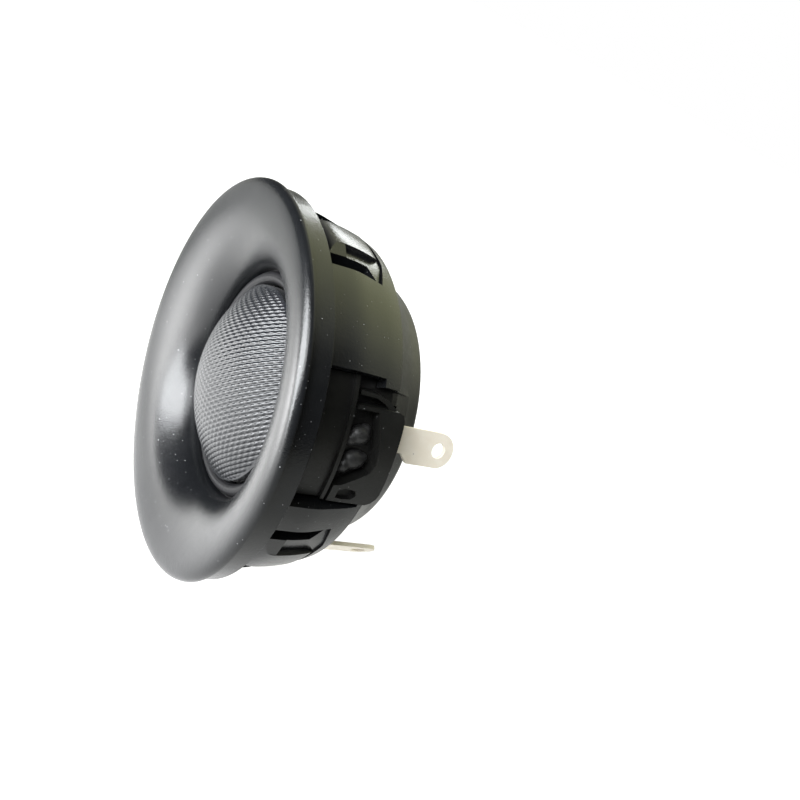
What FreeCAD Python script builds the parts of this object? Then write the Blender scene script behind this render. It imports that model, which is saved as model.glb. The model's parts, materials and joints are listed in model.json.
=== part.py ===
import FreeCAD, Part
import math
import os

os.makedirs("parts", exist_ok=True)

# A small soft-dome car tweeter. Millimetres. The driver's axis lies along Y:
# the dome faces -Y and the terminals leave towards +Y. The origin is at the
# centre of the flange's back plane, which seats on the mounting panel, and +Z
# points at the upper snap latch. Angles are measured about the Y axis from +Z
# towards +X.

# flange and horn
FLANGE_R = 24.0
BAND_R = 23.5
CREST_R = 22.7
CREST_Y = -3.75
CREASE_Y = -2.75
SEAT_Y = 0.0
FLARE_POWER = 1.8
THROAT_R = 14.1
THROAT_Y = 1.9
THROAT_END_Y = 2.45

# barrel behind the flange
BARREL_R = 22.0
BARREL_STRAIGHT_Y = 4.4
BARREL_END_R = 20.5
BARREL_END_Y = 10.4
BORE_R = 19.4

# snap latches
LATCH_ANGLES = {"latch_top": 0.0, "latch_right": 120.0, "latch_left": 240.0}
OPENING_FROM_Y = 0.6
FINGER_HALF_W = 4.6
SLOT_HALF_W = 7.3
PAD_FROM_W = -2.1
PAD_TO_W = 3.0
PAD_NOSE_END_Y = 3.9
TIP_HALF_W = 3.4
FINGER_FREE_Y = 0.95
SLOT_NECK_Y = 6.8
SLOT_END_Y = 8.0
PAD_END_Y = 9.2
PAD_R = 21.95
ROOT_GAP = 0.05
FINGER_INNER_R = 19.45

# terminal window in the barrel
WINDOW_FROM = 50.3
WINDOW_TO = 91.0
WINDOW_STEP_FROM = 52.8
WINDOW_STEP_Y = 8.1
WINDOW_SLOT_FROM = 89.5
WINDOW_SLOT_Y = 9.6

# keyed notches in the barrel's rear edge, and the shallow grooves beside them
NOTCH_ANGLES = (196.0, 316.0)
NOTCH_HALF_W = 0.88
NOTCH_Y = 3.6
NOTCH_NECK_Y = 5.9
NOTCH_NECK_HALF_W = 0.72
KEY_HALF_W = 0.6
GROOVE_OFFSET = 20.0
GROOVE_HALF_W = 0.15
GROOVE_DEPTH = 0.25

# rear cup
CUP_R = 19.25
CUP_WALL_R = 17.9
SLEEVE_R = 16.7
CUP_BORE_R = 15.45
CUP_FRONT_Y = 2.7
SLEEVE_FRONT_Y = 3.0
CHANNEL_END_Y = 12.0
CUP_FLOOR_Y = 14.0
SHOULDER_Y = 10.45
REAR_R = 15.95
REAR_Y = 16.25
LATCH_RELIEF_HALF_W = 5.0
LATCH_RELIEF_END_Y = 10.2
PANEL_R = 20.4
PANEL_FRONT_Y = 0.85
RIB_R = 20.85
RIB_Y = 4.65
RIB_W = 0.45

# terminal block
BLOCK_ANGLE = 74.4
BLOCK_R = 20.9
BLOCK_HALF_W = 5.5
BLOCK_FRONT_Y = 5.45
BLOCK_REAR_Y = 11.5
BLOCK_FOOT_R = 17.85
BLOCK_CORNER = 0.9

# terminal tabs
TAB_W = 4.1
TAB_T = 0.5
TAB_R = 18.5
TAB_HOLE_R = 0.9
TAB_HOLE_Y = 18.45
TAB_A_ANGLE = 69.5
TAB_A_IN_Y = 8.8
TAB_B_ANGLE = 130.0
TAB_B_IN_Y = 10.8
TAB_END_Y = 20.5
TAB_SLIT = 0.06

# moving diaphragm
DOME_R = 12.05
DOME_BASE_Y = 1.35
DOME_RISE = 4.77
DOME_T = 0.28
DOME_SKIRT_Y = 3.0
FORMER_R = 11.86
FORMER_T = 0.13
FORMER_END_Y = 8.1
COIL_T = 0.32
COIL_FROM_Y = 5.1
COIL_TO_Y = 7.9

# surround and its mounting ring
SURROUND_IN_R = 12.25
ROLL_OUT_R = 14.02
SURROUND_OUT_R = 15.4
SURROUND_Y = 2.8
SURROUND_T = 0.25
ROLL_RISE = 1.15
MOUNT_RING_IN_R = 13.8
GASKET_IN_R = 14.15

# motor
MOTOR_FRONT_Y = 5.4
PLATE_R = 11.6
PLATE_T = 2.0
MAGNET_R = 11.3
YOKE_FLOOR_Y = 11.6
YOKE_R = 15.4
YOKE_BORE_R = 12.6
DAMPER_R = 9.0
DAMPER_T = 1.2

AXIS = FreeCAD.Vector(0, 1, 0)
CENTRE = FreeCAD.Vector(0, 0, 0)


def export(name, shape):
    shape.exportStep("parts/" + name + ".step")


def turned(shape, angle):
    """A copy of the shape, turned about the driver's axis."""
    copy = shape.copy()
    copy.rotate(CENTRE, AXIS, angle)
    return copy


def profile(points):
    """A face in the half plane above the axis, from (radius, y) pairs."""
    corners = [FreeCAD.Vector(0, y, r) for r, y in points]
    return Part.Face(Part.makePolygon(corners + [corners[0]]))


def ring(points):
    """A full turn of a (radius, y) outline."""
    return profile(points).revolve(CENTRE, AXIS, 360)


def tube(r_in, r_out, y_from, y_to):
    return ring([(r_in, y_from), (r_out, y_from), (r_out, y_to), (r_in, y_to)])


def disc(r, y_from, y_to):
    return Part.makeCylinder(r, y_to - y_from, FreeCAD.Vector(0, y_from, 0), AXIS)


def sector(points, angle_from, angle_to):
    """Part of a turn of a (radius, y) outline, between two angles."""
    face = profile(points)
    face.rotate(CENTRE, AXIS, angle_from)
    return face.revolve(CENTRE, AXIS, angle_to - angle_from)


def block_sector(r_in, r_out, y_from, y_to, angle_from, angle_to):
    outline = [(r_in, y_from), (r_out, y_from), (r_out, y_to), (r_in, y_to)]
    return sector(outline, angle_from, angle_to)


def radial_prism(points, angle, r_from, r_to):
    """A prism that runs outwards from the axis, from (width, y) pairs."""
    corners = [FreeCAD.Vector(u, y, r_from) for u, y in points]
    face = Part.Face(Part.makePolygon(corners + [corners[0]]))
    return turned(face.extrude(FreeCAD.Vector(0, 0, r_to - r_from)), angle)


def arc_points(centre_r, centre_y, radius_r, radius_y, start, end, steps):
    """Points along an elliptical arc in the (radius, y) plane."""
    points = []
    for i in range(steps + 1):
        a = math.radians(start + (end - start) * i / steps)
        points.append((centre_r + radius_r * math.cos(a), centre_y + radius_y * math.sin(a)))
    return points


def smooth_profile(runs):
    """A face in the half plane above the axis, from runs of (radius, y) pairs.

    A run of several pairs is one smooth curve, a single pair is a corner, and
    straight lines join the runs.
    """
    placed = [[FreeCAD.Vector(0, y, r) for r, y in run] for run in runs]
    edges = []
    for i, run in enumerate(placed):
        if len(run) > 1:
            spline = Part.BSplineCurve()
            spline.interpolate(run)
            edges.append(spline.toShape())
        edges.append(Part.makeLine(run[-1], placed[(i + 1) % len(placed)][0]))
    return Part.Face(Part.Wire(edges))


def smooth_ring(runs):
    return smooth_profile(runs).revolve(CENTRE, AXIS, 360)


def smooth_sector(runs, angle_from, angle_to):
    face = smooth_profile(runs)
    face.rotate(CENTRE, AXIS, angle_from)
    return face.revolve(CENTRE, AXIS, angle_to - angle_from)


def place(r, y, angle):
    """The point at a radius, a depth and an angle."""
    a = math.radians(angle)
    return FreeCAD.Vector(r * math.sin(a), y, r * math.cos(a))


# ---- horn ring: flange, trumpet-shaped horn and barrel in one moulding ----

horn_curve = [(CREST_R + 1.3, CREASE_Y - 0.1), (CREST_R + 1.05, CREST_Y + 0.38)]
horn_curve += [(CREST_R + 0.55, CREST_Y + 0.08), (CREST_R, CREST_Y)]
flare_width = CREST_R - THROAT_R
flare_depth = THROAT_Y - CREST_Y
for part_of_turn in (15, 30, 42, 53, 63, 72, 81, 90):
    across = math.sin(math.radians(part_of_turn)) ** (2 / FLARE_POWER)
    down = 1 - math.cos(math.radians(part_of_turn)) ** (2 / FLARE_POWER)
    horn_curve.append((CREST_R - flare_width * across, CREST_Y + flare_depth * down))
horn_back = [
    (THROAT_R, THROAT_END_Y),
    (THROAT_R + 1.5, THROAT_END_Y),
    (THROAT_R + 1.55, 1.3),
    (THROAT_R + 2.2, -0.1),
    (THROAT_R + 3.3, -1.1),
    (BORE_R - 0.9, -1.75),
    (BORE_R, -1.75),
    (BORE_R, BARREL_END_Y),
]
barrel_curve = [
    (BARREL_END_R, BARREL_END_Y),
    (BARREL_END_R + 0.62, 8.4),
    (BARREL_R - 0.42, 6.4),
    (BARREL_R - 0.06, BARREL_STRAIGHT_Y),
    (BARREL_R, 2.2),
    (BARREL_R, SEAT_Y),
]
band = [
    (BAND_R - 0.12, SEAT_Y),
    (BAND_R, SEAT_Y - 0.12),
    (BAND_R, CREASE_Y + 0.35),
    (BAND_R + 0.2, CREASE_Y + 0.12),
    (FLANGE_R, CREASE_Y + 0.05),
]
horn_runs = [horn_curve] + [[corner] for corner in horn_back] + [barrel_curve]
horn_runs += [[corner] for corner in band]
horn_ring = smooth_ring(horn_runs)

slot_outline = [
    (-SLOT_HALF_W, OPENING_FROM_Y),
    (SLOT_HALF_W, OPENING_FROM_Y),
    (SLOT_HALF_W, SLOT_END_Y),
    (TIP_HALF_W, PAD_END_Y),
    (-TIP_HALF_W, PAD_END_Y),
    (-SLOT_HALF_W, SLOT_END_Y),
]
for angle in LATCH_ANGLES.values():
    horn_ring = horn_ring.cut(radial_prism(slot_outline, angle, 17.0, 26.0))

window = block_sector(17.0, 26.0, OPENING_FROM_Y, WINDOW_STEP_Y, WINDOW_FROM, WINDOW_TO)
beside_block = [
    (0.0, OPENING_FROM_Y + 1.0),
    (BLOCK_HALF_W + 0.05, OPENING_FROM_Y + 1.0),
    (BLOCK_HALF_W + 0.05, BARREL_END_Y + 1.0),
    (0.0, BARREL_END_Y + 1.0),
]
window = window.fuse(radial_prism(beside_block, BLOCK_ANGLE, 17.0, 26.0))
window = window.fuse(
    block_sector(17.0, 26.0, OPENING_FROM_Y, BARREL_END_Y + 1.0, WINDOW_STEP_FROM, BLOCK_ANGLE)
)
window = window.fuse(
    block_sector(17.0, 26.0, OPENING_FROM_Y, WINDOW_SLOT_Y, BLOCK_ANGLE, WINDOW_TO)
)
horn_ring = horn_ring.cut(window)

notch_outline = [
    (-NOTCH_HALF_W, NOTCH_Y),
    (NOTCH_HALF_W, NOTCH_Y),
    (NOTCH_HALF_W, NOTCH_NECK_Y),
    (NOTCH_NECK_HALF_W, NOTCH_NECK_Y),
    (NOTCH_NECK_HALF_W, BARREL_END_Y - 0.8),
    (NOTCH_NECK_HALF_W + 0.2, BARREL_END_Y - 0.3),
    (NOTCH_NECK_HALF_W + 0.9, BARREL_END_Y + 0.1),
    (-NOTCH_NECK_HALF_W - 0.9, BARREL_END_Y + 0.1),
    (-NOTCH_NECK_HALF_W - 0.2, BARREL_END_Y - 0.3),
    (-NOTCH_NECK_HALF_W, BARREL_END_Y - 0.8),
    (-NOTCH_NECK_HALF_W, NOTCH_NECK_Y),
    (-NOTCH_HALF_W, NOTCH_NECK_Y),
]
groove_outline = [
    (-GROOVE_HALF_W, 2.4),
    (GROOVE_HALF_W, 2.4),
    (GROOVE_HALF_W, BARREL_STRAIGHT_Y + 1.4),
    (-GROOVE_HALF_W, BARREL_STRAIGHT_Y + 1.4),
]
for angle in NOTCH_ANGLES:
    horn_ring = horn_ring.cut(radial_prism(notch_outline, angle, 17.0, 26.0))
    groove = radial_prism(groove_outline, angle + GROOVE_OFFSET, BARREL_R - 1.0, 26.0)
    inside = disc(BARREL_R - GROOVE_DEPTH, 0.0, BARREL_END_Y)
    horn_ring = horn_ring.cut(groove.cut(inside))
export("horn_ring", horn_ring)

# ---- snap latches: one springy finger in each slot, with a raised pad ----

finger_outline = [
    (-FINGER_HALF_W, FINGER_FREE_Y),
    (FINGER_HALF_W, FINGER_FREE_Y),
    (FINGER_HALF_W, SLOT_NECK_Y),
    (SLOT_HALF_W - ROOT_GAP, SLOT_END_Y - ROOT_GAP),
    (TIP_HALF_W - ROOT_GAP / 2, PAD_END_Y - ROOT_GAP),
    (-TIP_HALF_W + ROOT_GAP / 2, PAD_END_Y - ROOT_GAP),
    (-SLOT_HALF_W + ROOT_GAP, SLOT_END_Y - ROOT_GAP),
    (-FINGER_HALF_W, SLOT_NECK_Y),
]
finger_section = [
    [(FINGER_INNER_R, FINGER_FREE_Y - 0.1)],
    [(21.35, FINGER_FREE_Y - 0.1), (21.32, 3.2), (21.2, 5.2), (20.9, 7.2), (20.65, PAD_END_Y)],
    [(FINGER_INNER_R, PAD_END_Y)],
]
pad_top = [
    (20.95, FINGER_FREE_Y + 0.35),
    (PAD_R - 0.35, 2.1),
    (PAD_R - 0.05, 3.0),
    (PAD_R, 3.8),
    (PAD_R - 0.07, 4.8),
    (PAD_R - 0.25, 6.2),
    (PAD_R - 0.5, 7.5),
    (PAD_R - 0.75, 8.4),
    (PAD_R - 1.1, 8.85),
]
pad_section = [
    [(20.0, FINGER_FREE_Y + 0.3)],
    pad_top,
    [(20.4, PAD_END_Y - ROOT_GAP)],
    [(20.0, PAD_END_Y - ROOT_GAP)],
]
pad_outline = [
    (PAD_FROM_W, FINGER_FREE_Y),
    (PAD_TO_W, FINGER_FREE_Y),
    (PAD_TO_W, 8.1),
    (PAD_TO_W - 0.3, 8.7),
    (PAD_TO_W - 0.9, PAD_END_Y),
    (PAD_FROM_W + 0.9, PAD_END_Y),
    (PAD_FROM_W + 0.3, 8.7),
    (PAD_FROM_W, 8.1),
]
nose_section = [
    (-FINGER_HALF_W, 20.0),
    (FINGER_HALF_W, 20.0),
    (FINGER_HALF_W, 20.85),
    (PAD_TO_W, 21.7),
    (PAD_FROM_W, 21.8),
    (-FINGER_HALF_W, 20.85),
]
nose_corners = [FreeCAD.Vector(u, FINGER_FREE_Y, z) for u, z in nose_section]
nose_face = Part.Face(Part.makePolygon(nose_corners + [nose_corners[0]]))
nose = nose_face.extrude(FreeCAD.Vector(0, PAD_NOSE_END_Y - FINGER_FREE_Y, 0))
for name, angle in LATCH_ANGLES.items():
    finger = smooth_sector(finger_section, angle - 24.0, angle + 24.0)
    finger = finger.common(radial_prism(finger_outline, angle, 17.0, 26.0))
    pad = smooth_sector(pad_section, angle - 16.0, angle + 16.0)
    pad_nose = pad.common(turned(nose, angle))
    pad = pad.common(radial_prism(pad_outline, angle, 17.0, 26.0))
    export(name, finger.fuse(pad).fuse(pad_nose).removeSplitter())

# ---- rear cup: the housing that closes the barrel and holds the motor ----

shoulder = [
    (19.9, SHOULDER_Y),
    (19.3, 11.2),
    (18.7, 12.0),
    (17.95, 13.0),
    (17.25, 14.0),
    (16.65, 15.0),
    (16.2, 15.9),
    (REAR_R, REAR_Y),
]
cup_outline = [
    (0.0, CUP_FLOOR_Y),
    (CUP_BORE_R, CUP_FLOOR_Y),
    (CUP_BORE_R, SLEEVE_FRONT_Y),
    (SLEEVE_R, SLEEVE_FRONT_Y),
    (SLEEVE_R, CHANNEL_END_Y),
    (CUP_WALL_R, CHANNEL_END_Y),
    (CUP_WALL_R, CUP_FRONT_Y),
    (CUP_R, CUP_FRONT_Y),
    (CUP_R, SHOULDER_Y),
]
cup_runs = [[corner] for corner in cup_outline] + [shoulder, [(0.0, REAR_Y)]]
rear_cup = smooth_ring(cup_runs)

# the shoulder is lower between the window's edge and the terminal block
shoulder_dip = [(18.95, 10.4), (22.0, 10.4), (22.0, 14.5), (17.0, 14.5), (18.0, 12.6), (18.7, 11.4)]
rear_cup = rear_cup.cut(sector(shoulder_dip, WINDOW_STEP_FROM, BLOCK_ANGLE - 14.0))

relief_outline = [
    (-LATCH_RELIEF_HALF_W, CUP_FRONT_Y - 1.0),
    (LATCH_RELIEF_HALF_W, CUP_FRONT_Y - 1.0),
    (LATCH_RELIEF_HALF_W, LATCH_RELIEF_END_Y),
    (-LATCH_RELIEF_HALF_W, LATCH_RELIEF_END_Y),
]
for angle in LATCH_ANGLES.values():
    rear_cup = rear_cup.cut(radial_prism(relief_outline, angle, 16.9, 26.0))

panel_from = WINDOW_FROM + 0.3
panel = block_sector(CUP_R - 0.3, PANEL_R, PANEL_FRONT_Y, RIB_Y + 0.1, panel_from, WINDOW_SLOT_FROM)
rib = block_sector(CUP_R - 0.3, RIB_R, RIB_Y, RIB_Y + RIB_W, panel_from, WINDOW_SLOT_FROM)
rear_cup = rear_cup.fuse(panel).fuse(rib)

key_section = [
    (CUP_R - 0.3, NOTCH_NECK_Y + 0.15),
    (21.3, NOTCH_NECK_Y + 0.15),
    (BARREL_END_R - 0.05, SHOULDER_Y),
    (CUP_R - 0.3, SHOULDER_Y),
]
key_outline = [
    (-KEY_HALF_W, NOTCH_NECK_Y),
    (KEY_HALF_W, NOTCH_NECK_Y),
    (KEY_HALF_W, SHOULDER_Y),
    (-KEY_HALF_W, SHOULDER_Y),
]
for angle in NOTCH_ANGLES:
    key = sector(key_section, angle - 4.0, angle + 4.0)
    rear_cup = rear_cup.fuse(key.common(radial_prism(key_outline, angle, 17.0, 26.0)))

seat_half_w = BLOCK_HALF_W + 0.05
block_seat = [
    (-seat_half_w, SHOULDER_Y - 0.05),
    (seat_half_w, SHOULDER_Y - 0.05),
    (seat_half_w, BLOCK_REAR_Y + 0.05),
    (-seat_half_w, BLOCK_REAR_Y + 0.05),
]
seat_cutter = radial_prism(block_seat, BLOCK_ANGLE, 14.0, 26.0)
seat_cutter = seat_cutter.cut(disc(BLOCK_FOOT_R - 0.05, 0.0, 20.0))
rear_cup = rear_cup.cut(seat_cutter)


def tab_slit(angle, y_from, y_to):
    """The slit a terminal tab sits in, slightly larger than the tab."""
    half_w = TAB_W / 2 + TAB_SLIT
    slit = Part.makeBox(
        2 * half_w, y_to - y_from, TAB_T + 2 * TAB_SLIT,
        FreeCAD.Vector(-half_w, y_from, TAB_R - TAB_T / 2 - TAB_SLIT),
    )
    return turned(slit, angle)


rear_cup = rear_cup.cut(tab_slit(TAB_A_ANGLE, TAB_A_IN_Y - 0.1, 17.0))
rear_cup = rear_cup.cut(tab_slit(TAB_B_ANGLE, TAB_B_IN_Y - 0.1, 17.0))

# passages for the lead wires: into the wall channel and over the inner sleeve
LEAD_R = 0.22
LEAD_A_ANGLE = 71.0
LEAD_B_ANGLE = 134.0
for angle, y_from, y_to in ((LEAD_A_ANGLE, 8.2, 9.6), (LEAD_B_ANGLE, 10.0, 11.6)):
    passage = [(-0.6, y_from), (0.6, y_from), (0.6, y_to), (-0.6, y_to)]
    rear_cup = rear_cup.cut(radial_prism(passage, angle, 17.2, 19.0))
    over = [(-0.6, SLEEVE_FRONT_Y - 1.0), (0.6, SLEEVE_FRONT_Y - 1.0), (0.6, 4.6), (-0.6, 4.6)]
    rear_cup = rear_cup.cut(radial_prism(over, angle, 15.0, 17.2))
export("rear_cup", rear_cup.removeSplitter())

# ---- terminal block: the raised boss around the first tab, with its glue pocket ----

block = block_sector(CUP_R + 0.05, BLOCK_R, BLOCK_FRONT_Y, BLOCK_REAR_Y, 50.0, 99.0)
foot = block_sector(BLOCK_FOOT_R, CUP_R + 0.1, SHOULDER_Y, BLOCK_REAR_Y, 50.0, 99.0)
block = block.fuse(foot)
block_shape = [
    (-BLOCK_HALF_W, BLOCK_FRONT_Y),
    (BLOCK_HALF_W, BLOCK_FRONT_Y),
    (BLOCK_HALF_W, BLOCK_REAR_Y - 1.2),
    (BLOCK_HALF_W - 0.3, BLOCK_REAR_Y - 0.6),
    (BLOCK_HALF_W - 0.9, BLOCK_REAR_Y - 0.15),
    (BLOCK_HALF_W - 1.6, BLOCK_REAR_Y),
    (-BLOCK_HALF_W + BLOCK_CORNER, BLOCK_REAR_Y),
    (-BLOCK_HALF_W + 0.25, BLOCK_REAR_Y - 0.25),
    (-BLOCK_HALF_W, BLOCK_REAR_Y - BLOCK_CORNER),
]
block = block.common(radial_prism(block_shape, BLOCK_ANGLE, 17.0, 26.0))
pocket_shape = [
    (-5.1, BLOCK_FRONT_Y - 0.5),
    (3.6, BLOCK_FRONT_Y - 0.5),
    (3.4, 6.3),
    (2.5, 7.8),
    (1.6, 9.1),
    (0.6, 9.5),
    (-1.1, 9.3),
    (-4.0, 8.4),
    (-5.1, 8.1),
]
block = block.cut(radial_prism(pocket_shape, BLOCK_ANGLE, 17.0, 26.0))
hook_pocket = [
    (4.1, 6.3),
    (5.0, 6.3),
    (5.1, 7.2),
    (5.0, 8.2),
    (4.5, 8.7),
    (3.9, 8.4),
    (3.7, 7.0),
]
block = block.cut(radial_prism(hook_pocket, BLOCK_ANGLE, CUP_R + 0.45, 26.0))
block = block.cut(tab_slit(TAB_A_ANGLE, TAB_A_IN_Y - 0.1, 17.0))
ridge_shape = [
    (-6.95, 5.6),
    (-6.5, 5.6),
    (-6.4, 7.6),
    (-6.0, 8.8),
    (-5.4, 9.6),
    (-5.4, 10.4),
    (-5.7, 10.3),
    (-6.35, 9.3),
    (-6.8, 7.9),
]
ridge = block_sector(CUP_R + 0.05, BLOCK_R - 0.3, BLOCK_FRONT_Y, BLOCK_REAR_Y, 50.0, 64.0)
block = block.fuse(ridge.common(radial_prism(ridge_shape, BLOCK_ANGLE, 17.0, 26.0)))
export("terminal_block", block.removeSplitter())

# ---- terminal tabs: flat solder lugs with a round end and a hole ----


def terminal_tab(angle, y_in):
    half = TAB_W / 2
    centre_y = TAB_END_Y - half
    outline = [
        (-half, y_in),
        (half * 0.5, y_in),
        (half * 0.5, 13.6),
        (half, 14.6),
        (half, centre_y),
    ]
    outline += arc_points(0.0, centre_y, half, half, 0, 180, 16)[1:-1]
    outline.append((-half, centre_y))
    corners = [FreeCAD.Vector(u, y, TAB_R - TAB_T / 2) for u, y in outline]
    tab = Part.Face(Part.makePolygon(corners + [corners[0]])).extrude(FreeCAD.Vector(0, 0, TAB_T))
    hole = Part.makeCylinder(
        TAB_HOLE_R, 2.0, FreeCAD.Vector(0, TAB_HOLE_Y, TAB_R - 1.0), FreeCAD.Vector(0, 0, 1)
    )
    return turned(tab.cut(hole), angle)


export("terminal_tab_a", terminal_tab(TAB_A_ANGLE, TAB_A_IN_Y))
export("terminal_tab_b", terminal_tab(TAB_B_ANGLE, TAB_B_IN_Y))

# ---- adhesive blobs in the block's pocket ----


def drop(angle, y, size_u, size_y, height):
    """A flattened drop that sits on the cup's wall."""
    matrix = FreeCAD.Matrix()
    matrix.scale(size_u, size_y, height)
    shape = Part.makeSphere(1.0).transformGeometry(matrix)
    shape.translate(FreeCAD.Vector(0, y, CUP_R))
    return turned(shape, angle)


def blob(drops):
    """An uneven lump of adhesive: several drops run together."""
    lump = drop(*drops[0])
    for values in drops[1:]:
        lump = lump.fuse(drop(*values))
    return lump.cut(disc(CUP_R + 0.05, 0.0, 14.0))


blob_a = [(68.3, 7.2, 1.15, 1.4, 1.15), (69.9, 6.3, 0.8, 0.85, 0.95), (66.6, 7.7, 0.8, 0.8, 0.8)]
blob_b = [(76.6, 7.4, 1.2, 1.5, 1.1), (79.0, 6.5, 0.95, 0.9, 1.0), (75.6, 8.3, 0.7, 0.8, 0.7)]
export("adhesive_blob_a", blob(blob_a))
export("adhesive_blob_b", blob(blob_b))

# ---- lead wires from the tabs to the diaphragm's mounting ring ----


def lead_wire(points):
    """A round wire bent smoothly through the points."""
    spline = Part.BSplineCurve()
    spline.interpolate(points)
    path = Part.Wire([spline.toShape()])
    start = Part.makeCircle(LEAD_R, points[0], spline.tangent(spline.FirstParameter)[0])
    return path.makePipeShell([Part.Wire([start])], True, True)


lead_a = [
    place(18.0, 9.0, LEAD_A_ANGLE),
    place(17.4, 8.4, LEAD_A_ANGLE),
    place(17.3, 6.6, LEAD_A_ANGLE),
    place(17.3, 5.0, LEAD_A_ANGLE),
    place(16.9, 4.1, LEAD_A_ANGLE),
    place(16.0, 3.9, LEAD_A_ANGLE),
    place(15.65, 3.9, LEAD_A_ANGLE),
]
lead_b = [
    place(18.0, 11.0, LEAD_B_ANGLE),
    place(17.4, 10.4, LEAD_B_ANGLE),
    place(17.3, 8.0, LEAD_B_ANGLE),
    place(17.3, 5.0, LEAD_B_ANGLE),
    place(16.9, 4.1, LEAD_B_ANGLE),
    place(16.0, 3.9, LEAD_B_ANGLE),
    place(15.65, 3.9, LEAD_B_ANGLE),
]
export("lead_wire_a", lead_wire(lead_a))
export("lead_wire_b", lead_wire(lead_b))

# ---- moving diaphragm: dome, coil former and voice coil ----

dome_sphere_r = (DOME_R ** 2 + DOME_RISE ** 2) / (2 * DOME_RISE)
dome_centre_y = DOME_BASE_Y - DOME_RISE + dome_sphere_r
skirt = disc(DOME_R, DOME_BASE_Y - 0.1, DOME_SKIRT_Y).cut(
    disc(DOME_R - DOME_T + 0.22, DOME_BASE_Y - 1.0, DOME_SKIRT_Y + 1.0)
)
outer_ball = Part.makeSphere(dome_sphere_r, FreeCAD.Vector(0, dome_centre_y, 0))
inner_ball = Part.makeSphere(dome_sphere_r - DOME_T, FreeCAD.Vector(0, dome_centre_y, 0))
cap_space = disc(DOME_R, DOME_BASE_Y - DOME_RISE - 1.0, DOME_BASE_Y)
dome = outer_ball.cut(inner_ball).common(cap_space).fuse(skirt).removeSplitter()
export("dome", dome)
former_top_y = DOME_BASE_Y + 0.05
export("coil_former", tube(FORMER_R, FORMER_R + FORMER_T, former_top_y, FORMER_END_Y))
coil_r = FORMER_R + FORMER_T
export("voice_coil", tube(coil_r, coil_r + COIL_T, COIL_FROM_Y, COIL_TO_Y))

# ---- surround, the ring it is glued to, and the gasket under the horn ----

roll_centre = (SURROUND_IN_R + ROLL_OUT_R) / 2
roll_half = (ROLL_OUT_R - SURROUND_IN_R) / 2
roll_top = arc_points(roll_centre, SURROUND_Y, roll_half, -ROLL_RISE, 180, 0, 10)
roll_under = arc_points(
    roll_centre, SURROUND_Y, roll_half - SURROUND_T, -ROLL_RISE + SURROUND_T, 0, 180, 10
)
surround_outline = roll_top[:-1] + [
    (ROLL_OUT_R - 0.03, SURROUND_Y - SURROUND_T * 0.7),
    (SURROUND_OUT_R, SURROUND_Y - SURROUND_T * 0.7),
    (SURROUND_OUT_R, SURROUND_Y),
]
surround_outline += roll_under
export("surround", ring(surround_outline))
export("mounting_ring", tube(MOUNT_RING_IN_R, SURROUND_OUT_R, SURROUND_Y, MOTOR_FRONT_Y))
gasket_y = SURROUND_Y - SURROUND_T * 0.7
export("gasket", tube(GASKET_IN_R, SURROUND_OUT_R, THROAT_END_Y, gasket_y))

# ---- motor: front plate, magnet and steel yoke, with a damping pad ----

front_plate = ring([
    (0.0, MOTOR_FRONT_Y),
    (PLATE_R - 0.3, MOTOR_FRONT_Y),
    (PLATE_R, MOTOR_FRONT_Y + 0.3),
    (PLATE_R, MOTOR_FRONT_Y + PLATE_T),
    (0.0, MOTOR_FRONT_Y + PLATE_T),
])
export("front_plate", front_plate)
export("magnet", disc(MAGNET_R, MOTOR_FRONT_Y + PLATE_T, YOKE_FLOOR_Y))
yoke = ring([
    (0.0, YOKE_FLOOR_Y),
    (YOKE_BORE_R, YOKE_FLOOR_Y),
    (YOKE_BORE_R, MOTOR_FRONT_Y),
    (YOKE_R, MOTOR_FRONT_Y),
    (YOKE_R, CUP_FLOOR_Y - 0.6),
    (YOKE_R - 0.6, CUP_FLOOR_Y),
    (0.0, CUP_FLOOR_Y),
])
export("yoke", yoke)
export("damping_pad", disc(DAMPER_R, MOTOR_FRONT_Y - DAMPER_T, MOTOR_FRONT_Y))
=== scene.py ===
import bpy
import bmesh
import json
import math
from mathutils import Matrix, Quaternion, Vector


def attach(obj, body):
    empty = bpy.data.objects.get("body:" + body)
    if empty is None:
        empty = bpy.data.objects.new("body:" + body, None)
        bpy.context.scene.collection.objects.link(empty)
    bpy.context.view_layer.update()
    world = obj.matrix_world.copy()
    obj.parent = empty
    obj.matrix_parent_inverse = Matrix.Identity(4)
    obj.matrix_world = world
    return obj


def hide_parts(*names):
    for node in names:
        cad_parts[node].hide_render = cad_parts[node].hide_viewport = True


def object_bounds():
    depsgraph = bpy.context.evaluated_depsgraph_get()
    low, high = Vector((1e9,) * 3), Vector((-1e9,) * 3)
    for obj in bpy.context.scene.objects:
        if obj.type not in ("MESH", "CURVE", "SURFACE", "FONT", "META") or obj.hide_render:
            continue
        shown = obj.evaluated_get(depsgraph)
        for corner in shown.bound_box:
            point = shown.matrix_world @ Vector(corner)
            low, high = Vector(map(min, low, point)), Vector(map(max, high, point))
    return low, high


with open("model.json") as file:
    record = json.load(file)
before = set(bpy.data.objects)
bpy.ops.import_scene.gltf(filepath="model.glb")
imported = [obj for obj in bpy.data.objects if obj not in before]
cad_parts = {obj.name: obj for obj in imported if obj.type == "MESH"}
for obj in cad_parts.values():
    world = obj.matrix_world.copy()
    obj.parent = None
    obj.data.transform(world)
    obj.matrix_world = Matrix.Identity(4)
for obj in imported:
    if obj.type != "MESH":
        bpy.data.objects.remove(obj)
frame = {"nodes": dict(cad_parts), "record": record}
cad_lo, cad_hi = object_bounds()
nodes = frame["nodes"]
scene = bpy.context.scene
MM = 0.001

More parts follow.
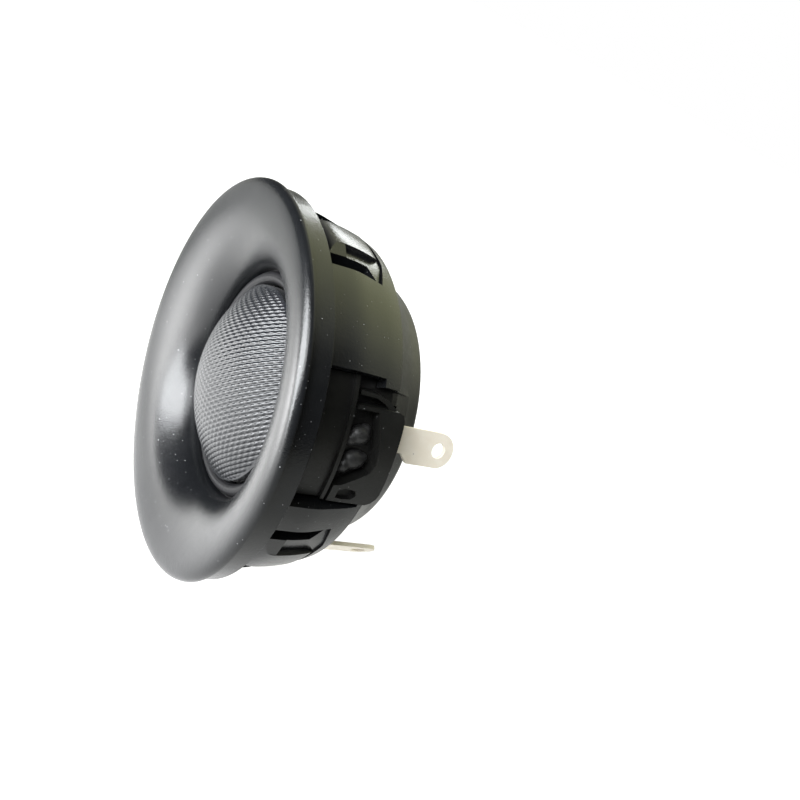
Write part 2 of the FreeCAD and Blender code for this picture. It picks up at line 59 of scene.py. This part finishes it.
# ---------------------------------------------------------------- camera
CAM_POSITION = Vector((86.29, -43.35, 51.56)) * MM
CAM_FORWARD = Vector((-0.7510, 0.5235, -0.4025)).normalized()
CAM_UP = Vector((-0.5632, -0.1894, 0.8044)).normalized()
CAM_LENS = 40.5
CAM_SHIFT = (0.0399, -0.0373)

cam_data = bpy.data.cameras.new("photo_camera")
cam_data.lens = CAM_LENS
cam_data.sensor_width = 36.0
cam_data.shift_x, cam_data.shift_y = CAM_SHIFT
cam_data.clip_start = 0.002
cam_data.clip_end = 20.0
camera = bpy.data.objects.new("photo_camera", cam_data)
scene.collection.objects.link(camera)
right = CAM_FORWARD.cross(CAM_UP).normalized()
up = right.cross(CAM_FORWARD).normalized()
camera_turn = Matrix((right, up, -CAM_FORWARD)).transposed().to_4x4()
camera.matrix_world = Matrix.Translation(CAM_POSITION) @ camera_turn
scene.camera = camera


# ---------------------------------------------------------------- node helpers
class Graph:
    """A short way to write a material's node tree."""

    def __init__(self, name):
        self.material = bpy.data.materials.new(name)
        self.material.use_nodes = True
        self.tree = self.material.node_tree
        self.shader = self.tree.nodes["Principled BSDF"]
        coords = self.tree.nodes.new("ShaderNodeTexCoord")
        self.position = coords.outputs["Object"]

    def node(self, kind, **settings):
        made = self.tree.nodes.new(kind)
        for key, value in settings.items():
            setattr(made, key, value)
        return made

    def link(self, source, target):
        self.tree.links.new(source, target)

    def noise(self, scale, detail=3.0, rough=0.55, stretch=None):
        made = self.node("ShaderNodeTexNoise")
        made.inputs["Scale"].default_value = scale
        made.inputs["Detail"].default_value = detail
        made.inputs["Roughness"].default_value = rough
        source = self.position
        if stretch is not None:
            mapping = self.node("ShaderNodeMapping")
            mapping.inputs["Scale"].default_value = stretch
            self.link(self.position, mapping.inputs["Vector"])
            source = mapping.outputs["Vector"]
        self.link(source, made.inputs["Vector"])
        return made.outputs["Fac"]

    def ramp(self, source, low, high, to_low=0.0, to_high=1.0):
        made = self.node("ShaderNodeMapRange")
        made.inputs["From Min"].default_value = low
        made.inputs["From Max"].default_value = high
        made.inputs["To Min"].default_value = to_low
        made.inputs["To Max"].default_value = to_high
        self.link(source, made.inputs["Value"])
        return made.outputs["Result"]

    def math(self, operation, a, b):
        made = self.node("ShaderNodeMath", operation=operation)
        for socket, value in zip(made.inputs, (a, b)):
            if isinstance(value, (int, float)):
                socket.default_value = value
            else:
                self.link(value, socket)
        return made.outputs["Value"]

    def mix(self, factor, a, b):
        made = self.node("ShaderNodeMix", data_type="RGBA")
        self.link(factor, made.inputs["Factor"])
        for socket, value in ((made.inputs[6], a), (made.inputs[7], b)):
            if isinstance(value, tuple):
                socket.default_value = (*value, 1.0)
            else:
                self.link(value, socket)
        return made.outputs[2]

    def specks(self, scale, size, share):
        """Small scattered specks: 1 inside a speck, 0 elsewhere."""
        cells = self.node("ShaderNodeTexVoronoi", feature="F1")
        cells.inputs["Scale"].default_value = scale
        self.link(self.position, cells.inputs["Vector"])
        near = self.ramp(cells.outputs["Distance"], size, size * 0.6)
        split = self.node("ShaderNodeSeparateColor")
        self.link(cells.outputs["Color"], split.inputs["Color"])
        chosen = self.ramp(split.outputs[0], share, share * 0.9)
        return self.math("MULTIPLY", self.math("MULTIPLY", near, chosen), split.outputs[1])

    def bump(self, height, strength, distance, normal=None):
        made = self.node("ShaderNodeBump")
        made.inputs["Strength"].default_value = strength
        made.inputs["Distance"].default_value = distance
        self.link(height, made.inputs["Height"])
        if normal is not None:
            self.link(normal, made.inputs["Normal"])
        return made.outputs["Normal"]

    def finish(self, color=None, roughness=None, normal=None, **fixed):
        if color is not None:
            self.link(color, self.shader.inputs["Base Color"])
        if roughness is not None:
            self.link(roughness, self.shader.inputs["Roughness"])
        if normal is not None:
            self.link(normal, self.shader.inputs["Normal"])
        for key, value in fixed.items():
            socket = self.shader.inputs[key.replace("_", " ")]
            if isinstance(value, tuple):
                socket.default_value = (*value, 1.0)
            else:
                socket.default_value = value
        return self.material


# ---------------------------------------------------------------- materials
def moulded_plastic(name, dark, light, rough_low, rough_high, grain, specular, dust):
    """Moulded plastic: slow colour drift, fine grain, handling marks and dust specks."""
    g = Graph(name)
    drift = g.noise(180.0, 4.0)
    color = g.mix(g.ramp(drift, 0.35, 0.65), dark, light)
    motes = g.specks(1300.0, 0.085, dust)
    color = g.mix(g.math("MULTIPLY", motes, 0.55), color, (0.62, 0.63, 0.64))
    rub = g.noise(900.0, 5.0, 0.7, (1.0, 0.35, 1.0))
    roughness = g.ramp(rub, 0.3, 0.7, rough_low, rough_high)
    fine = g.noise(5200.0, 2.0, 0.5)
    normal = g.bump(fine, grain, 0.00004)
    broad = g.noise(260.0, 2.0, 0.4)
    normal = g.bump(broad, 0.12, 0.0002, normal)
    return g.finish(color, roughness, normal, Specular_IOR_Level=specular)


def woven_cloth():
    g = Graph("woven_fabric")
    drift = g.noise(260.0, 3.0)
    color = g.mix(g.ramp(drift, 0.35, 0.65), (0.007, 0.008, 0.010), (0.012, 0.013, 0.015))
    fibre = g.noise(9000.0, 3.0, 0.6)
    color = g.mix(g.ramp(fibre, 0.62, 0.75, 0.0, 0.5), color, (0.06, 0.06, 0.064))
    roughness = g.ramp(fibre, 0.3, 0.7, 0.17, 0.28)
    normal = g.bump(fibre, 0.35, 0.00003)
    return g.finish(
        color, roughness, normal, Specular_IOR_Level=0.55, Sheen_Weight=0.05, Sheen_Roughness=0.4
    )


def metal(name, base, alt, rough_low, rough_high, metallic, brush):
    g = Graph(name)
    wear = g.noise(700.0, 4.0)
    color = g.mix(g.ramp(wear, 0.4, 0.65), base, alt)
    marks = g.specks(900.0, 0.10, 0.06)
    color = g.mix(g.math("MULTIPLY", marks, 0.6), color, (0.16, 0.12, 0.09))
    streaks = g.noise(2600.0, 3.0, 0.6, brush)
    roughness = g.ramp(streaks, 0.3, 0.7, rough_low, rough_high)
    normal = g.bump(streaks, 0.15, 0.00002)
    return g.finish(color, roughness, normal, Metallic=metallic)


def soft_black(name, dark, light, rough_low, rough_high, scale, strength, specular=0.5):
    g = Graph(name)
    lumps = g.noise(scale, 4.0, 0.6)
    color = g.mix(g.ramp(lumps, 0.35, 0.65), dark, light)
    roughness = g.ramp(lumps, 0.3, 0.7, rough_low, rough_high)
    normal = g.bump(lumps, strength, 0.0001)
    return g.finish(color, roughness, normal, Specular_IOR_Level=specular)


def braided_lead():
    g = Graph("lead_braid")
    wave = g.node("ShaderNodeTexWave", wave_type="BANDS", bands_direction="Y")
    wave.inputs["Scale"].default_value = 900.0
    wave.inputs["Distortion"].default_value = 2.0
    g.link(g.position, wave.inputs["Vector"])
    color = g.mix(wave.outputs["Fac"], (0.02, 0.018, 0.016), (0.07, 0.062, 0.055))
    normal = g.bump(wave.outputs["Fac"], 0.5, 0.00005)
    return g.finish(color, None, normal, Roughness=0.7)


def winding_wire():
    g = Graph("coil_wire")
    wave = g.node("ShaderNodeTexWave", wave_type="BANDS", bands_direction="Y")
    wave.inputs["Scale"].default_value = 2200.0
    g.link(g.position, wave.inputs["Vector"])
    color = g.mix(wave.outputs["Fac"], (0.26, 0.09, 0.03), (0.62, 0.27, 0.12))
    normal = g.bump(wave.outputs["Fac"], 0.6, 0.00004)
    return g.finish(color, None, normal, Metallic=0.9, Roughness=0.35)


finishes = {
    "moulded_black": moulded_plastic(
        "moulded_black", (0.0050, 0.0056, 0.0064), (0.0080, 0.0085, 0.0095),
        0.20, 0.27, 0.45, 0.5, 0.8,
    ),
    "cup_black": moulded_plastic(
        "cup_black", (0.0060, 0.0062, 0.0060), (0.0100, 0.0100, 0.0092),
        0.28, 0.38, 0.45, 0.45, 0.8,
    ),
    "woven_fabric": woven_cloth(),
    "coated_cloth": soft_black(
        "coated_cloth", (0.004, 0.004, 0.005), (0.008, 0.008, 0.009), 0.42, 0.60, 2600.0, 0.25, 0.25
    ),
    "tinned_metal": metal(
        "tinned_metal", (0.96, 0.88, 0.75), (1.0, 0.93, 0.81), 0.32, 0.45, 0.12, (1.0, 0.15, 1.0)
    ),
    "adhesive": soft_black(
        "adhesive", (0.014, 0.014, 0.014), (0.026, 0.026, 0.026), 0.36, 0.52, 1400.0, 0.5
    ),
    "lead_braid": braided_lead(),
    "inner_plastic": moulded_plastic(
        "inner_plastic", (0.012, 0.012, 0.012), (0.02, 0.02, 0.02), 0.45, 0.6, 0.4, 0.45, 0.02
    ),
    "gasket_foam": soft_black(
        "gasket_foam", (0.015, 0.015, 0.015), (0.03, 0.03, 0.03), 0.7, 0.9, 5000.0, 0.6
    ),
    "former_foil": metal(
        "former_foil", (0.70, 0.70, 0.71), (0.78, 0.78, 0.79), 0.22, 0.35, 1.0, (1.0, 0.2, 1.0)
    ),
    "coil_wire": winding_wire(),
    "zinc_steel": metal(
        "zinc_steel", (0.50, 0.51, 0.53), (0.60, 0.60, 0.60), 0.28, 0.42, 1.0, (1.0, 1.0, 1.0)
    ),
    "magnet_plating": metal(
        "magnet_plating", (0.58, 0.57, 0.55), (0.66, 0.65, 0.63), 0.10, 0.2, 1.0, (1.0, 1.0, 1.0)
    ),
    "felt": soft_black("felt", (0.05, 0.05, 0.05), (0.12, 0.12, 0.12), 0.85, 0.95, 4200.0, 0.9),
}
slots = {s["node"]: s["material_slot"] for s in frame["record"]["subparts"]}
for name, obj in nodes.items():
    obj.data.materials.clear()
    obj.data.materials.append(finishes[slots[name]])


def smooth(obj, degrees=32.0):
    """Smooth shading that keeps edges sharper than the angle."""
    mesh = obj.data
    if mesh.has_custom_normals:
        with bpy.context.temp_override(object=obj, active_object=obj, selected_objects=[obj]):
            bpy.ops.mesh.customdata_custom_splitnormals_clear()
    mesh.shade_smooth()
    mesh.set_sharp_from_angle(angle=math.radians(degrees))


for obj in nodes.values():
    smooth(obj)

# cured adhesive: the separate drops have run together
for name in ("adhesive_blob_a", "adhesive_blob_b"):
    merged = nodes[name].modifiers.new("merged", "REMESH")
    merged.mode = "VOXEL"
    merged.voxel_size = 0.09 * MM
    merged.use_smooth_shade = True
    settled = nodes[name].modifiers.new("settled", "SMOOTH")
    settled.factor = 0.8
    settled.iterations = 14

# ---------------------------------------------------------------- woven dome
# the cloth lies on the CAD dome's outside: rows of thread with a ripple across them
DOME_R = 12.05 * MM
DOME_BASE_Y = 1.35 * MM
DOME_RISE = 4.77 * MM
WEAVE_PITCH = 0.55 * MM
THREAD_RISE = 0.20 * MM
WEAVE_TURN = 48.0
SKIRT_DEPTH = 1.3 * MM
EDGE_FADE = 0.5 * MM
STEPS_PER_THREAD = 6
ROW_CROWN = 0.95
ROW_ROUNDNESS = 3.7
RIPPLE = 0.24
HEADROOM = 1.25


def weave_height(u, v):
    """Height of the threads, in thread rises, at a place on the flat cloth."""
    iu, iv = math.floor(u), math.floor(v)
    fu, fv = u - iu - 0.5, v - iv - 0.5
    side = 1.0 if (iu + iv) % 2 == 0 else -1.0
    row = ROW_CROWN * math.sqrt(1.0 - ROW_ROUNDNESS * fv * fv)
    return row + RIPPLE * side * math.cos(math.pi * fu) * math.cos(math.pi * fv)


def woven_dome():
    ball = (DOME_R ** 2 + DOME_RISE ** 2) / (2 * DOME_RISE)
    centre_y = DOME_BASE_Y - DOME_RISE + ball
    arc_max = ball * math.asin(DOME_R / ball)
    step = WEAVE_PITCH / STEPS_PER_THREAD
    half = math.ceil((arc_max + SKIRT_DEPTH) / step) + 1
    turn = math.radians(WEAVE_TURN)
    ct, st = math.cos(turn), math.sin(turn)
    bm = bmesh.new()
    grid = {}
    for i in range(-half, half + 1):
        for j in range(-half, half + 1):
            u, v = i * step, j * step
            arc = math.hypot(u, v)
            if arc > arc_max + SKIRT_DEPTH:
                continue
            fade = min(1.0, max(0.0, (arc_max - arc) / EDGE_FADE))
            height = weave_height(u / WEAVE_PITCH, v / WEAVE_PITCH) * THREAD_RISE * fade
            on_cap = min(arc, arc_max)
            reach = ball - (THREAD_RISE * HEADROOM - height) * fade
            radius = math.sin(on_cap / ball) * reach
            across = radius / arc if arc > 0 else 0.0
            x, z = u * across, v * across
            y = centre_y - math.cos(on_cap / ball) * reach + max(0.0, arc - arc_max)
            grid[i, j] = bm.verts.new((x * ct - z * st, y, x * st + z * ct))
    for (i, j), a in grid.items():
        b, c, d = grid.get((i + 1, j)), grid.get((i + 1, j + 1)), grid.get((i, j + 1))
        if b and c and d:
            bm.faces.new((a, b, c, d))
    bmesh.ops.recalc_face_normals(bm, faces=bm.faces)
    mesh = bpy.data.meshes.new("dome_weave")
    bm.to_mesh(mesh)
    bm.free()
    obj = bpy.data.objects.new("dome_weave", mesh)
    scene.collection.objects.link(obj)
    mesh.materials.append(finishes["woven_fabric"])
    mesh.shade_smooth()
    return obj


dome_weave = woven_dome()
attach(dome_weave, "diaphragm")
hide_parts("dome")

# ---------------------------------------------------------------- floor and light
FLOOR_HALF = 3.0
FLOOR_GAP = 0.02 * MM
floor_z = cad_lo.z - FLOOR_GAP
floor_corners = [
    (x * FLOOR_HALF, y * FLOOR_HALF, floor_z) for x, y in ((-1, -1), (1, -1), (1, 1), (-1, 1))
]
floor_mesh = bpy.data.meshes.new("floor")
floor_mesh.from_pydata(floor_corners, [], [(0, 1, 2, 3)])
floor = bpy.data.objects.new("floor", floor_mesh)
scene.collection.objects.link(floor)


def along(graph, vector, direction):
    """The part of a vector that points along a direction."""
    made = graph.node("ShaderNodeVectorMath", operation="DOT_PRODUCT")
    made.inputs[1].default_value = direction
    graph.link(vector, made.inputs[0])
    return made.outputs["Value"]


# the floor glows in reflections, brightest in front of the dome, and is plain white when seen
GLOW_CENTRE = (-0.037, -0.080, floor_z)
fg = Graph("floor_paper")
glow = fg.ramp(along(fg, fg.position, (-0.36, -0.93, 0.0)), -0.02, 0.06, 1.5, 3.4)
from_centre = fg.node("ShaderNodeVectorMath", operation="DISTANCE")
from_centre.inputs[1].default_value = GLOW_CENTRE
fg.link(fg.position, from_centre.inputs[0])
glow = fg.math("ADD", glow, fg.ramp(from_centre.outputs["Value"], 0.052, 0.015, 0.0, 10.0))
far_left = fg.ramp(along(fg, fg.position, (-0.97, 0.25, 0.0)), 0.02, 0.07, 1.0, 0.1)
glow = fg.math("MULTIPLY", glow, far_left)
far_right = fg.ramp(along(fg, fg.position, (0.86, 0.5, 0.0)), -0.02, 0.05, 1.0, 0.06)
glow = fg.math("MULTIPLY", glow, far_right)
seen_directly = fg.node("ShaderNodeLightPath").outputs["Is Camera Ray"]
glow = fg.math("MAXIMUM", glow, seen_directly)
paper = fg.noise(40.0, 3.0)
fg.link(glow, fg.shader.inputs["Emission Strength"])
fg.finish(
    fg.mix(fg.ramp(paper, 0.3, 0.7), (0.34, 0.34, 0.34), (0.37, 0.37, 0.37)),
    None, None, Roughness=0.9, Specular_IOR_Level=0.1, Emission_Color=(1.0, 1.0, 1.0),
)
floor_mesh.materials.append(fg.material)


class WorldGraph(Graph):
    """The same short way, for the studio's surroundings."""

    def __init__(self, world):
        world.use_nodes = True
        self.tree = world.node_tree
        coords = self.tree.nodes.new("ShaderNodeTexCoord")
        self.position = coords.outputs["Generated"]


# a dim room with one paler, slightly olive wall behind the part
WALL_DIRECTION = (-0.35, 0.66, 0.66)
WALL_GLOW = 1.5
ROOM_GLOW = 0.04
world = bpy.data.worlds.new("studio")
scene.world = world
wg = WorldGraph(world)
wall = wg.ramp(along(wg, wg.position, WALL_DIRECTION), 0.6, 1.0)
shade = wg.math("MULTIPLY_ADD", wall, WALL_GLOW)
shade.node.inputs[2].default_value = ROOM_GLOW
tone = wg.mix(wall, (1.0, 1.0, 1.0), (1.0, 1.03, 0.6))
seen_directly = wg.node("ShaderNodeLightPath").outputs["Is Camera Ray"]
strength = wg.node("ShaderNodeMix", data_type="FLOAT")
wg.link(seen_directly, strength.inputs["Factor"])
wg.link(shade, strength.inputs[2])
strength.inputs[3].default_value = 1.0
background = world.node_tree.nodes["Background"]
wg.link(wg.mix(seen_directly, tone, (1.0, 1.0, 1.0)), background.inputs["Color"])
wg.link(strength.outputs[0], background.inputs["Strength"])


LIGHT_TINT = (0.955, 0.98, 1.0)


def softbox(name, azimuth, elevation, distance, size, radiance, roll=0.0):
    """A rectangular light that faces the part; azimuth 0 is in front of the dome."""
    light = bpy.data.lights.new(name, "AREA")
    light.shape = "RECTANGLE"
    light.size, light.size_y = size
    light.energy = radiance * math.pi * size[0] * size[1]
    light.color = LIGHT_TINT
    obj = bpy.data.objects.new(name, light)
    az, el = math.radians(azimuth), math.radians(elevation)
    toward = Vector((math.sin(az) * math.cos(el), -math.cos(az) * math.cos(el), math.sin(el)))
    obj.location = toward * distance
    obj.rotation_mode = "QUATERNION"
    facing = (-toward).to_track_quat("-Z", "Y")
    obj.rotation_quaternion = facing @ Quaternion((0.0, 0.0, 1.0), math.radians(roll))
    scene.collection.objects.link(obj)


softbox("front", 3.0, 15.0, 0.35, (0.36, 0.22), 19.0, 62.0)
softbox("over_camera", 34.0, 42.0, 0.42, (0.22, 0.2), 8.0)
softbox("behind_left", -126.0, 24.0, 0.4, (0.13, 0.09), 7.0)

scene.view_settings.view_transform = "Standard"
